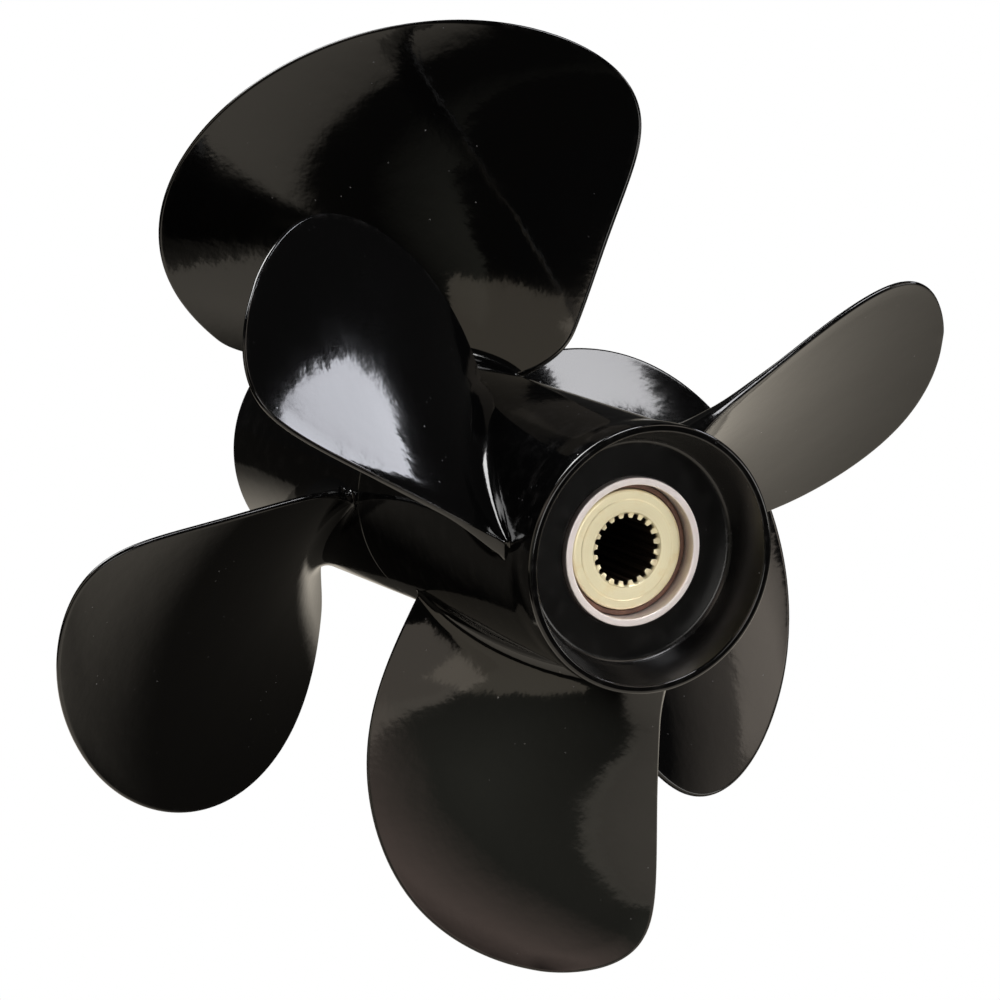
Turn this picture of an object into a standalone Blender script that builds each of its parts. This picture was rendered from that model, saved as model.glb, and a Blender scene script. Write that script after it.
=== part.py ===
"""Contra-rotating pair of three-bladed stern drive propellers.

Metres, +Z up. The shafts' axis is Y: the boat is towards +Y and the aft end towards -Y.
The origin is on the axis, at the centre of the forward hub's front face.
Dimensions below are in millimetres and are scaled when a mesh is made.
"""

import math

import bmesh
import bpy

MM = 0.001

# ---------------------------------------------------------------- driving dimensions
HUB_STEPS = 60  # segments round a hub
BORE_STEPS = 48  # segments round the small turned pieces

# forward hub
FWD_FRONT_Y = 0.0
FWD_AFT_Y = -128.3
FWD_FRONT_R = 53.8
FWD_AFT_R = 51.2
FWD_PASSAGE_R = 47.4  # inner face of the hub barrel, round the exhaust passage
FWD_BOSS_R = 39.0
FWD_BORE_R = 34.6
FWD_COUNTERBORE_R = 48.2
FWD_COUNTERBORE_DEPTH = 14.0
FWD_BOSS_SETBACK = 6.0

# aft hub
AFT_NOSE_Y = FWD_AFT_Y + 7.0  # the nose stands inside the forward hub's counterbore
AFT_NOSE_R = 46.6
AFT_SHOULDER_Y = FWD_AFT_Y - 0.8
AFT_BARREL_R = 51.4
AFT_LIP_R = 52.8  # the barrel flares to this over its last 20 mm
AFT_LIP_Y = -288.6
AFT_LIP_ROUND = 3.0
AFT_LIP_INNER_R = 49.6
AFT_RECESS_R = 43.8
AFT_FLOOR_Y = AFT_LIP_Y + 18.0
AFT_BOSS_R = 35.5
AFT_BORE_R = 29.6
AFT_POCKET_R = 46.0
AFT_POCKET_END_Y = AFT_FLOOR_Y + 12.0

RIB_T = 8.0

# bushes: shell, rubber and splined sleeve, each with a 0.3 mm gap to its neighbour
GAP = 0.3
AFT_SHELL_OUT_R = AFT_BORE_R - GAP
AFT_SHELL_IN_R = 26.4
AFT_SHELL_AFT_Y = AFT_FLOOR_Y - 2.4
AFT_SHELL_FRONT_Y = AFT_NOSE_Y - 6.0
AFT_SLEEVE_FLANGE_R = 23.8
AFT_SLEEVE_R = 19.0
AFT_SLEEVE_AFT_Y = AFT_SHELL_AFT_Y + 5.0
AFT_SPLINE_R = 14.2
AFT_SPLINE_DEPTH = 1.7
AFT_SPLINE_TEETH = 20

FWD_SHELL_OUT_R = FWD_BORE_R - GAP
FWD_SHELL_IN_R = 31.6
FWD_SHELL_FRONT_Y = FWD_FRONT_Y - 9.0
FWD_SHELL_AFT_Y = FWD_AFT_Y + 24.0
FWD_SLEEVE_FLANGE_R = 29.2
FWD_SLEEVE_R = 25.4
FWD_SLEEVE_FRONT_Y = FWD_SHELL_FRONT_Y - 3.0
FWD_SPLINE_R = 21.5
FWD_SPLINE_DEPTH = 2.1
FWD_SPLINE_TEETH = 24

# blades. A station's fraction runs from 0 at root_r to 1 at tip_r, and each law is a
# polynomial of it: helix is the pitch over a full turn divided by 2 pi, half_chord runs
# along the helix, skew is in radians and rake along the axis
AFT_BLADE = {
    "hand": 1,
    "first_deg": 138.0,
    "root_r": 46.0,
    "tip_r": 177.5,
    "mid_y": -209.8,
    "helix": (80.0, 27.0, 7.5),
    "half_chord": (59.7, -10.0, 60.0, -67.5),
    "tip_power": 18.0,
    "root_taper": 0.0,
    "skew": (-0.272, 0.588, -0.223),
    "rake": (-26.6, 68.4, -56.7),
    "cup": (-16.3, 17.2),
    "root_t": 15.0,
    "tip_t": 3.2,
    "edge_t": 2.4,
    "hub": (AFT_BARREL_R, 0.0),
    "hub_in": -4.2,
    "fillet": 9.0,
}
FWD_BLADE = {
    "hand": -1,
    "first_deg": 95.0,
    "root_r": 50.0,
    "tip_r": 194.0,
    "mid_y": -66.5,
    "helix": (90.0, 24.6, -19.8),
    "half_chord": (76.8, 76.3, -57.0, 63.5),
    "tip_power": 3.46,
    "root_taper": 17.5,
    "skew": (-0.392, 0.505, 0.043),
    "rake": (-58.7, 83.3, -54.3),
    "cup": (2.3, -4.9),
    "root_t": 17.0,
    "tip_t": 3.4,
    "edge_t": 2.6,
    "hub": (FWD_FRONT_R, (FWD_AFT_R - FWD_FRONT_R) / FWD_AFT_Y),
    "hub_in": -2.8,
    "fillet": 9.0,
}
BLADE_ROWS = 14  # stations up the blade, before those that round its tip
EDGE_STEPS = (0.0, 0.45, 2.4)  # columns this far in from the leading and trailing edges
FACE_COLUMNS = 5  # and these between them
TIP_STEPS = (0.93, 0.82, 0.68, 0.52, 0.36, 0.22, 0.10, 0.0)  # share of the full chord
FILLET_STEPS = (0.12, 0.34, 0.65)  # heights of the root fillet's rows, as shares of its radius


# ---------------------------------------------------------------- helpers
def clear_scene():
    for obj in list(bpy.data.objects):
        bpy.data.objects.remove(obj, do_unlink=True)


def new_collection(name, hidden=False):
    made = bpy.data.collections.new(name)
    bpy.context.scene.collection.children.link(made)
    made.hide_render = hidden
    return made


def new_material(name, color, rough, metal):
    mat = bpy.data.materials.new(name)
    mat.use_nodes = True
    bsdf = mat.node_tree.nodes["Principled BSDF"]
    bsdf.inputs["Base Color"].default_value = (*color, 1.0)
    bsdf.inputs["Roughness"].default_value = rough
    bsdf.inputs["Metallic"].default_value = metal
    mat.diffuse_color = (*color, 1.0)
    return mat


def object_of(name, verts, faces, collection, mat=None):
    mesh = bpy.data.meshes.new(name)
    mesh.from_pydata([tuple(c * MM for c in v) for v in verts], [], faces)
    mesh.validate()
    mesh.update()
    obj = bpy.data.objects.new(name, mesh)
    collection.objects.link(obj)
    if mat:
        mesh.materials.append(mat)
    return obj


def turned(name, profile, steps, collection, mat=None):
    """A ring turned about Y. The profile is a closed loop of (y, r), in order round the section."""
    verts = [(r, y, 0.0) for y, r in profile]
    mesh = bpy.data.meshes.new(name)
    edges = [(i, (i + 1) % len(verts)) for i in range(len(verts))]
    mesh.from_pydata([tuple(c * MM for c in v) for v in verts], edges, [])
    obj = bpy.data.objects.new(name, mesh)
    collection.objects.link(obj)
    screw = obj.modifiers.new("turn", "SCREW")
    screw.axis = "Y"
    screw.angle = 2 * math.pi
    screw.steps = steps
    screw.render_steps = steps
    screw.use_merge_vertices = True
    screw.merge_threshold = 0.00001
    screw.use_normal_calculate = True
    if mat:
        mesh.materials.append(mat)
    apply_modifiers(obj)
    face_out(obj)
    return obj


def apply_modifiers(obj):
    graph = bpy.context.evaluated_depsgraph_get()
    graph.update()
    mesh = bpy.data.meshes.new_from_object(obj.evaluated_get(graph))
    old = obj.data
    obj.modifiers.clear()
    obj.data = mesh
    bpy.data.meshes.remove(old)


def face_out(obj):
    bm = bmesh.new()
    bm.from_mesh(obj.data)
    bmesh.ops.remove_doubles(bm, verts=bm.verts, dist=0.000001)
    bmesh.ops.recalc_face_normals(bm, faces=bm.faces)
    if bm.calc_volume(signed=True) < 0:
        bmesh.ops.reverse_faces(bm, faces=bm.faces)
    bm.to_mesh(obj.data)
    bm.free()


def boolean(target, other, operation):
    mod = target.modifiers.new(operation.lower(), "BOOLEAN")
    mod.operation = operation
    mod.solver = "EXACT"
    mod.object = other
    other.hide_render = True
    other.display_type = "WIRE"
    apply_modifiers(target)


def smooth(obj, degrees=32.0):
    for poly in obj.data.polygons:
        poly.use_smooth = True
    obj.data.set_sharp_from_angle(angle=math.radians(degrees))


def poly(coefficients, x, first=1):
    return sum(c * x ** (i + first) for i, c in enumerate(coefficients))


# ---------------------------------------------------------------- blades
def blade_point(spec, fraction, s, thickness, side, above=1e9):
    """A point of the blade: s is -1 at the leading edge and 1 at the trailing edge, and
    side is -1 on the pressure face, which looks aft, and 1 on the suction face. Near the
    hub the radius follows the hub's own surface. Returns radius, turn and y."""
    r = spec["root_r"] + (spec["tip_r"] - spec["root_r"]) * fraction
    helix = poly(spec["helix"], fraction, 0)
    half = half_chord(spec, fraction)
    slant = math.hypot(r, helix)
    turn = poly(spec["skew"], fraction) + s * half / slant
    y = spec["mid_y"] - helix * turn + poly(spec["rake"], fraction)
    y += poly(spec["cup"], fraction) * ((1 + s) / 2) ** 2
    off = side * min(thickness, spec["edge_t"] / 2)
    if side > 0 and thickness > spec["edge_t"] / 2:
        full = spec["tip_t"] + (spec["root_t"] - spec["tip_t"]) * (1 - max(0.0, fraction)) ** 1.4
        off += (full - spec["edge_t"]) * max(0.0, 1 - s * s) ** 0.85
    turn += helix / slant * off / r
    y += r / slant * off
    hub_r, slope = spec["hub"]
    share = max(0.0, 1.0 - max(0.0, above) / 30.0)
    r += slope * (y - spec["mid_y"]) * share
    return r, turn, y


def half_chord(spec, fraction):
    half = poly(spec["half_chord"], fraction, 0)
    half -= spec["root_taper"] * max(0.0, 1.0 - fraction / 0.2) ** 2
    return half * math.sqrt(max(0.0, 1.0 - max(0.0, fraction) ** spec["tip_power"]))


def place(spec, first, point):
    r, turn, y = point
    a = first + spec["hand"] * turn
    return (r * math.cos(a), y, r * math.sin(a))


def blade(name, spec, index, collection):
    """One closed blade from rows of a section, with a root fillet that spreads onto the
    hub, a rounded rim all the way round, and a single point at the tip."""
    first = math.radians(spec["first_deg"] - spec["hand"] * 120.0 * index)
    span = spec["tip_r"] - spec["root_r"]
    hub_mid = spec["hub"][0] + spec["hub"][1] * spec["mid_y"]
    lowest = (hub_mid + spec["fillet"] - spec["root_r"]) / span
    # rows as (fraction, height over the hub)
    rows = []
    for height in [spec["hub_in"]] + [k * spec["fillet"] for k in FILLET_STEPS]:
        rows.append(((hub_mid + height - spec["root_r"]) / span, height))
    tips = [(1.0 - k * k) ** (1.0 / spec["tip_power"]) for k in TIP_STEPS]
    for i in range(BLADE_ROWS):
        fraction = lowest + (tips[0] - lowest) * i / BLADE_ROWS
        rows.append((fraction, spec["root_r"] + span * fraction - hub_mid))
    rows += [(k, 1e9) for k in tips]
    # columns: the same share of the chord on every row, but for the rim's own width
    rim = spec["edge_t"] / 2
    outline = [
        place(spec, first, blade_point(spec, i / 160.0, s, 0.0, 0))
        for s in (-1, 1)
        for i in range(161)
    ]
    verts, rings = [], []
    for fraction, above in rows:
        half = half_chord(spec, fraction)
        if half < 0.05:
            tip = len(verts)
            verts.append(place(spec, first, blade_point(spec, 1.0, 0.0, 0.0, 0)))
            continue
        inset = [min(d / half, 0.2 * k) for k, d in enumerate(EDGE_STEPS)]
        edge = 1.0 - inset[-1]
        inner = [edge * math.sin(math.pi / 2 * (2.0 * k / (FACE_COLUMNS + 1) - 1.0)) for k in range(1, FACE_COLUMNS + 1)]
        columns = [d - 1.0 for d in inset] + inner + [1.0 - d for d in reversed(inset)]
        section = []
        for side in (-1, 1):
            order = columns if side < 0 else columns[-2:0:-1]
            for s in order:
                mid = place(spec, first, blade_point(spec, fraction, s, 0.0, 0))
                away = min(math.dist(mid, p) for p in outline) if abs(s) < 1 else 0.0
                if above < 30.0:
                    away = (1 - abs(s)) * half
                bite = max(0.0, 1.0 - away / rim)
                thickness = rim * math.sqrt(max(0.0, 1.0 - bite * bite)) if away < rim else rim + 0.001
                section.append((blade_point(spec, fraction, s, thickness, side, above), s))
        if above < spec["fillet"]:
            section = [(spread(section, k, spec, above), section[k][1]) for k in range(len(section))]
        rings.append(list(range(len(verts), len(verts) + len(section))))
        verts += [place(spec, first, p) for p, s in section]
    faces = []
    n = len(rings[0])
    for a, b in zip(rings, rings[1:]):
        for k in range(n):
            faces.append((a[k], a[(k + 1) % n], b[(k + 1) % n], b[k]))
    top = rings[-1]
    faces += [(top[k], top[(k + 1) % n], tip) for k in range(n)]
    low = rings[0]
    half_n = n // 2
    faces.append((low[0], low[1], low[n - 1]))
    for k in range(1, half_n - 1):
        faces.append((low[k], low[k + 1], low[n - k - 1], low[n - k]))
    faces.append((low[half_n - 1], low[half_n], low[half_n + 1]))
    obj = object_of(name, verts, faces, collection)
    face_out(obj)
    return obj


def spread(section, k, spec, above):
    """The section's point k, moved outwards along the hub for the root fillet."""
    n = len(section)
    (r, turn, y), s = section[k]
    before, after = section[k - 1][0], section[(k + 1) % n][0]
    dx, dy = (after[1] - before[1]) * r, after[2] - before[2]
    length = math.hypot(dx, dy)
    # the loop runs along the pressure face towards the trailing edge, so outwards is aft there
    nx, ny = dy / length, -dx / length
    if ny > 0 and abs(s) < 0.9 and k < n // 2:
        nx, ny = -nx, -ny
    radius = spec["fillet"] * (1.0 - 0.62 * abs(s) ** 3)
    rise = max(0.0, above) / radius
    out = 0.0 if rise >= 1 else radius * (1.0 - math.sqrt(1.0 - (1.0 - rise) ** 2))
    if above <= 0:
        rise = FILLET_STEPS[0] * spec["fillet"] / radius
        out = radius * (1.0 - math.sqrt(max(0.0, 1.0 - (1.0 - min(1.0, rise)) ** 2)))
    return r, turn + nx * out / r, y + ny * out


def ribs(name, r_in, r_out, y0, y1, first_deg, collection):
    """Three radial ribs between a boss and a barrel, as one mesh of separate boxes."""
    verts, faces = [], []
    for i in range(3):
        a = math.radians(first_deg + 120.0 * i)
        c, s = math.cos(a), math.sin(a)
        base = len(verts)
        for y in (y0, y1):
            for r, t in ((r_in, -1), (r_out, -1), (r_out, 1), (r_in, 1)):
                w = t * RIB_T / 2
                verts.append((r * c - w * s, y, r * s + w * c))
        b = base
        faces += [(b, b + 1, b + 2, b + 3), (b + 7, b + 6, b + 5, b + 4)]
        for k in range(4):
            m = (k + 1) % 4
            faces.append((b + k, b + k + 4, b + m + 4, b + m))
    obj = object_of(name, verts, faces, collection)
    face_out(obj)
    return obj


def spline_cutter(name, r_major, depth, teeth, y0, y1, collection):
    """A prism with square-cut teeth, for an internal spline."""
    ring = []
    pitch = 2 * math.pi / teeth
    for i in range(teeth):
        for frac, r in ((-0.30, r_major - depth), (-0.20, r_major), (0.20, r_major), (0.30, r_major - depth)):
            a = (i + frac) * pitch
            ring.append((r * math.cos(a), r * math.sin(a)))
    n = len(ring)
    verts = [(x, y0, z) for x, z in ring] + [(x, y1, z) for x, z in ring]
    faces = [tuple(range(n)), tuple(range(2 * n - 1, n - 1, -1))]
    faces += [(k, k + n, (k + 1) % n + n, (k + 1) % n) for k in range(n)]
    obj = object_of(name, verts, faces, collection)
    face_out(obj)
    return obj


# ---------------------------------------------------------------- build
clear_scene()
parts = new_collection("contra_rotating_propellers")
tools = new_collection("cutters", hidden=True)

paint = new_material("gloss_black_paint", (0.008, 0.008, 0.009), 0.08, 0.0)
paint_aft = new_material("gloss_black_paint_aft", (0.008, 0.008, 0.009), 0.08, 0.0)
shell_metal = new_material("machined_aluminium", (0.80, 0.79, 0.78), 0.30, 1.0)
shell_metal_fwd = new_material("machined_aluminium_fwd", (0.80, 0.79, 0.78), 0.30, 1.0)
rubber = new_material("bush_rubber", (0.09, 0.045, 0.03), 0.60, 0.0)
rubber_fwd = new_material("bush_rubber_fwd", (0.09, 0.045, 0.03), 0.60, 0.0)
bronze = new_material("sleeve_bronze", (0.78, 0.66, 0.38), 0.28, 1.0)
bronze_fwd = new_material("sleeve_bronze_fwd", (0.78, 0.66, 0.38), 0.28, 1.0)

# forward casting: barrel and boss, open between them for the exhaust, and three ribs
forward = turned(
    "forward_propeller",
    [
        (FWD_FRONT_Y, FWD_FRONT_R - 1.0),
        (FWD_FRONT_Y - 1.0, FWD_FRONT_R),
        (FWD_AFT_Y + 0.6, FWD_AFT_R),
        (FWD_AFT_Y, FWD_AFT_R - 0.6),
        (FWD_AFT_Y, FWD_COUNTERBORE_R),
        (FWD_AFT_Y + FWD_COUNTERBORE_DEPTH, FWD_COUNTERBORE_R),
        (FWD_AFT_Y + FWD_COUNTERBORE_DEPTH + 4, FWD_PASSAGE_R),
        (FWD_FRONT_Y - 8.0, FWD_PASSAGE_R),
        (FWD_FRONT_Y, FWD_PASSAGE_R - 1.5),
    ],
    HUB_STEPS,
    parts,
    paint,
)
boss = turned(
    "cut_forward_boss",
    [
        (FWD_FRONT_Y - FWD_BOSS_SETBACK, FWD_BORE_R),
        (FWD_FRONT_Y - FWD_BOSS_SETBACK, FWD_BOSS_R - 1.0),
        (FWD_FRONT_Y - FWD_BOSS_SETBACK - 1, FWD_BOSS_R),
        (FWD_AFT_Y + FWD_COUNTERBORE_DEPTH + 5, FWD_BOSS_R),
        (FWD_AFT_Y + FWD_COUNTERBORE_DEPTH + 4, FWD_BOSS_R - 1.0),
        (FWD_AFT_Y + FWD_COUNTERBORE_DEPTH + 4, FWD_BORE_R),
    ],
    HUB_STEPS,
    tools,
)
forward_ribs = ribs(
    "cut_forward_ribs",
    FWD_BORE_R + 2.4,
    FWD_PASSAGE_R + 2.0,
    FWD_FRONT_Y - 12.0,
    FWD_AFT_Y + FWD_COUNTERBORE_DEPTH + 9,
    FWD_BLADE["first_deg"],
    tools,
)
boolean(forward, forward_ribs, "UNION")
boolean(forward, boss, "UNION")
for index in range(3):
    boolean(forward, blade(f"cut_forward_blade_{index}", FWD_BLADE, index, tools), "UNION")
face_out(forward)
smooth(forward)

# aft casting: flared lip, recess with a closed floor, blind pocket from the front
aft = turned(
    "aft_propeller",
    [
        (AFT_NOSE_Y, AFT_NOSE_R - 1.2),
        (AFT_NOSE_Y - 1.2, AFT_NOSE_R),
        (AFT_SHOULDER_Y, AFT_NOSE_R),
        (AFT_SHOULDER_Y, AFT_BARREL_R - 0.8),
        (AFT_SHOULDER_Y - 0.8, AFT_BARREL_R),
        (AFT_LIP_Y + 20.0, AFT_BARREL_R),
        (AFT_LIP_Y + 8.0, AFT_LIP_R - 0.2),
        (AFT_LIP_Y + AFT_LIP_ROUND, AFT_LIP_R),
        (AFT_LIP_Y + 0.29 * AFT_LIP_ROUND, AFT_LIP_R - 0.29 * AFT_LIP_ROUND),
        (AFT_LIP_Y, AFT_LIP_R - 0.8 * AFT_LIP_ROUND),
        (AFT_LIP_Y + 0.8, AFT_LIP_INNER_R),
        (AFT_FLOOR_Y - 1.2, AFT_RECESS_R + 0.4),
        (AFT_FLOOR_Y, AFT_RECESS_R - 1.0),
        (AFT_FLOOR_Y, AFT_BORE_R),
        (AFT_NOSE_Y - 4.0, AFT_BORE_R),
        (AFT_NOSE_Y - 4.0, AFT_BOSS_R - 1.0),
        (AFT_NOSE_Y - 5.0, AFT_BOSS_R),
        (AFT_POCKET_END_Y + 3.0, AFT_BOSS_R),
        (AFT_POCKET_END_Y, AFT_BOSS_R + 3.0),
        (AFT_POCKET_END_Y, AFT_POCKET_R - 3.0),
        (AFT_POCKET_END_Y + 3.0, AFT_POCKET_R),
        (AFT_SHOULDER_Y - 10.0, AFT_POCKET_R),
        (AFT_SHOULDER_Y - 3.0, AFT_NOSE_R - 4.6),
        (AFT_NOSE_Y, AFT_NOSE_R - 4.6),
    ],
    HUB_STEPS,
    parts,
    paint_aft,
)
aft_ribs = ribs(
    "cut_aft_ribs",
    AFT_BORE_R + 2.6,
    AFT_POCKET_R + 2.0,
    AFT_SHOULDER_Y - 14.0,
    AFT_POCKET_END_Y - 4.0,
    AFT_BLADE["first_deg"],
    tools,
)
boolean(aft, aft_ribs, "UNION")
for index in range(3):
    boolean(aft, blade(f"cut_aft_blade_{index}", AFT_BLADE, index, tools), "UNION")
face_out(aft)
smooth(aft)

# aft bush
aft_shell = turned(
    "aft_bush_shell",
    [
        (AFT_SHELL_AFT_Y, AFT_SHELL_IN_R + 0.5),
        (AFT_SHELL_AFT_Y, AFT_SHELL_OUT_R - 0.5),
        (AFT_SHELL_AFT_Y + 0.5, AFT_SHELL_OUT_R),
        (AFT_SHELL_FRONT_Y, AFT_SHELL_OUT_R),
        (AFT_SHELL_FRONT_Y, AFT_SHELL_IN_R),
        (AFT_SHELL_AFT_Y + 0.5, AFT_SHELL_IN_R),
    ],
    BORE_STEPS,
    parts,
    shell_metal,
)
flange_front = AFT_SLEEVE_AFT_Y + 9.0
aft_rubber = turned(
    "aft_rubber_bush",
    [
        (AFT_SLEEVE_AFT_Y + 1.6, AFT_SLEEVE_FLANGE_R + GAP),
        (AFT_SLEEVE_AFT_Y + 1.6, AFT_SHELL_IN_R - GAP),
        (AFT_SHELL_FRONT_Y - 4.0, AFT_SHELL_IN_R - GAP),
        (AFT_SHELL_FRONT_Y - 4.0, AFT_SLEEVE_R + GAP),
        (flange_front + GAP, AFT_SLEEVE_R + GAP),
        (flange_front + GAP, AFT_SLEEVE_FLANGE_R + GAP),
    ],
    BORE_STEPS,
    parts,
    rubber,
)
aft_sleeve = turned(
    "aft_splined_sleeve",
    [
        (AFT_SLEEVE_AFT_Y, AFT_SPLINE_R - AFT_SPLINE_DEPTH - 1.0),
        (AFT_SLEEVE_AFT_Y, AFT_SLEEVE_FLANGE_R - 1.6),
        (AFT_SLEEVE_AFT_Y + 1.6, AFT_SLEEVE_FLANGE_R),
        (flange_front, AFT_SLEEVE_FLANGE_R),
        (flange_front, AFT_SLEEVE_R),
        (AFT_SHELL_FRONT_Y + 1.0, AFT_SLEEVE_R),
        (AFT_SHELL_FRONT_Y + 2.0, AFT_SLEEVE_R - 1.0),
        (AFT_SHELL_FRONT_Y + 2.0, AFT_SPLINE_R - AFT_SPLINE_DEPTH - 1.0),
    ],
    BORE_STEPS,
    parts,
    bronze,
)
boolean(
    aft_sleeve,
    spline_cutter("cut_aft_spline", AFT_SPLINE_R, AFT_SPLINE_DEPTH, AFT_SPLINE_TEETH, AFT_SLEEVE_AFT_Y - 10, AFT_SHELL_FRONT_Y + 12, tools),
    "DIFFERENCE",
)

# forward bush
fwd_shell = turned(
    "forward_bush_shell",
    [
        (FWD_SHELL_FRONT_Y, FWD_SHELL_IN_R),
        (FWD_SHELL_FRONT_Y, FWD_SHELL_OUT_R - 0.5),
        (FWD_SHELL_FRONT_Y - 0.5, FWD_SHELL_OUT_R),
        (FWD_SHELL_AFT_Y, FWD_SHELL_OUT_R),
        (FWD_SHELL_AFT_Y, FWD_SHELL_IN_R),
    ],
    BORE_STEPS,
    parts,
    shell_metal_fwd,
)
fwd_flange_aft = FWD_SLEEVE_FRONT_Y - 9.0
fwd_rubber = turned(
    "forward_rubber_bush",
    [
        (FWD_SLEEVE_FRONT_Y - 1.6, FWD_SLEEVE_FLANGE_R + GAP),
        (FWD_SLEEVE_FRONT_Y - 1.6, FWD_SHELL_IN_R - GAP),
        (FWD_SHELL_AFT_Y + 3.0, FWD_SHELL_IN_R - GAP),
        (FWD_SHELL_AFT_Y + 3.0, FWD_SLEEVE_R + GAP),
        (fwd_flange_aft - GAP, FWD_SLEEVE_R + GAP),
        (fwd_flange_aft - GAP, FWD_SLEEVE_FLANGE_R + GAP),
    ],
    BORE_STEPS,
    parts,
    rubber_fwd,
)
fwd_sleeve = turned(
    "forward_splined_sleeve",
    [
        (FWD_SLEEVE_FRONT_Y, FWD_SPLINE_R - FWD_SPLINE_DEPTH - 1.0),
        (FWD_SLEEVE_FRONT_Y, FWD_SLEEVE_FLANGE_R - 1.6),
        (FWD_SLEEVE_FRONT_Y - 1.6, FWD_SLEEVE_FLANGE_R),
        (fwd_flange_aft, FWD_SLEEVE_FLANGE_R),
        (fwd_flange_aft, FWD_SLEEVE_R),
        (FWD_SHELL_AFT_Y, FWD_SLEEVE_R),
        (FWD_SHELL_AFT_Y - 1.0, FWD_SLEEVE_R - 1.0),
        (FWD_SHELL_AFT_Y - 1.0, FWD_SPLINE_R - FWD_SPLINE_DEPTH - 1.0),
    ],
    BORE_STEPS,
    parts,
    bronze_fwd,
)
boolean(
    fwd_sleeve,
    spline_cutter("cut_forward_spline", FWD_SPLINE_R, FWD_SPLINE_DEPTH, FWD_SPLINE_TEETH, FWD_SHELL_AFT_Y - 12, FWD_SLEEVE_FRONT_Y + 10, tools),
    "DIFFERENCE",
)

for piece in (aft_shell, aft_rubber, aft_sleeve, fwd_shell, fwd_rubber, fwd_sleeve):
    face_out(piece)
    smooth(piece, 28.0)
for helper in tools.objects:
    helper.hide_render = True
    helper.display_type = "WIRE"
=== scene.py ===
"""Looks of the contra-rotating propeller pair. Metres, +Z up, the shafts' axis along Y.

Each casting is rebuilt from the same laws as the CAD, with full root fillets and rounded
rims, and each bush piece with its chamfers, splines and turning marks.
"""

import math

import bpy
import numpy as np
from mathutils import Matrix, Vector


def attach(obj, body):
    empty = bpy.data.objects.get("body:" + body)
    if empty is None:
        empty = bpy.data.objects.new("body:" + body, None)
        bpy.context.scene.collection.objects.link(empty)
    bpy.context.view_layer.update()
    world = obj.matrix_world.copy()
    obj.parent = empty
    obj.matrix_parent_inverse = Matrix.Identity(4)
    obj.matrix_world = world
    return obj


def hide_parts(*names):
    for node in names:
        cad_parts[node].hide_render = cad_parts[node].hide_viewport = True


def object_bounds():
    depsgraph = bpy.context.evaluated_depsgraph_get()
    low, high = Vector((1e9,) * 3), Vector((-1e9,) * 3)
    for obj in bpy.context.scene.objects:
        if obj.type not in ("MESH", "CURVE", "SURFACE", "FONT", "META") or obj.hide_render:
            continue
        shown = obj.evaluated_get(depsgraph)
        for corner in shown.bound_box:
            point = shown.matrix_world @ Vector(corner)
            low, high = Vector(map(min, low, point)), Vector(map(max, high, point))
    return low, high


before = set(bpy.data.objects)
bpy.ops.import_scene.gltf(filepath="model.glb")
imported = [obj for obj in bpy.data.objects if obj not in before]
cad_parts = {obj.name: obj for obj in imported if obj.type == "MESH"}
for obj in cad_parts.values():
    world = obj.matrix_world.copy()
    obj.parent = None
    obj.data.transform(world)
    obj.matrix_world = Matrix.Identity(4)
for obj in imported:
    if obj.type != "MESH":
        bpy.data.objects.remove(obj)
cad_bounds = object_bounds()

MM = 0.001
TURN = 2 * math.pi

# ---------------------------------------------------------------- dimensions, millimetres
HUB_STEPS = 288
BORE_STEPS = 240

FWD_FRONT_Y = 0.0
FWD_AFT_Y = -128.3
FWD_FRONT_R = 53.8
FWD_AFT_R = 51.2
FWD_PASSAGE_R = 47.4
FWD_BOSS_R = 39.0
FWD_BORE_R = 34.6
FWD_COUNTERBORE_R = 48.2
FWD_COUNTERBORE_DEPTH = 14.0
FWD_BOSS_SETBACK = 6.0

AFT_NOSE_Y = FWD_AFT_Y + 7.0
AFT_NOSE_R = 46.6
AFT_SHOULDER_Y = FWD_AFT_Y - 0.8
AFT_BARREL_R = 51.4
AFT_LIP_R = 52.8
AFT_LIP_Y = -288.6
AFT_LIP_ROUND = 3.0
AFT_LIP_INNER_R = 49.6
AFT_RECESS_R = 43.8
AFT_FLOOR_Y = AFT_LIP_Y + 18.0
AFT_BOSS_R = 35.5
AFT_BORE_R = 29.6
AFT_POCKET_R = 46.0
AFT_POCKET_END_Y = AFT_FLOOR_Y + 12.0

RIB_T = 8.0
GAP = 0.3

AFT_SHELL_OUT_R = AFT_BORE_R - GAP
AFT_SHELL_IN_R = 26.4
AFT_SHELL_AFT_Y = AFT_FLOOR_Y - 2.4
AFT_SHELL_FRONT_Y = AFT_NOSE_Y - 6.0
AFT_SLEEVE_FLANGE_R = 23.8
AFT_SLEEVE_R = 19.0
AFT_SLEEVE_AFT_Y = AFT_SHELL_AFT_Y + 5.0
AFT_SPLINE_R = 14.2
AFT_SPLINE_DEPTH = 1.7
AFT_SPLINE_TEETH = 20

FWD_SHELL_OUT_R = FWD_BORE_R - GAP
FWD_SHELL_IN_R = 31.6
FWD_SHELL_FRONT_Y = FWD_FRONT_Y - 9.0
FWD_SHELL_AFT_Y = FWD_AFT_Y + 24.0
FWD_SLEEVE_FLANGE_R = 29.2
FWD_SLEEVE_R = 25.4
FWD_SLEEVE_FRONT_Y = FWD_SHELL_FRONT_Y - 3.0
FWD_SPLINE_R = 21.5
FWD_SPLINE_DEPTH = 2.1
FWD_SPLINE_TEETH = 24

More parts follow.
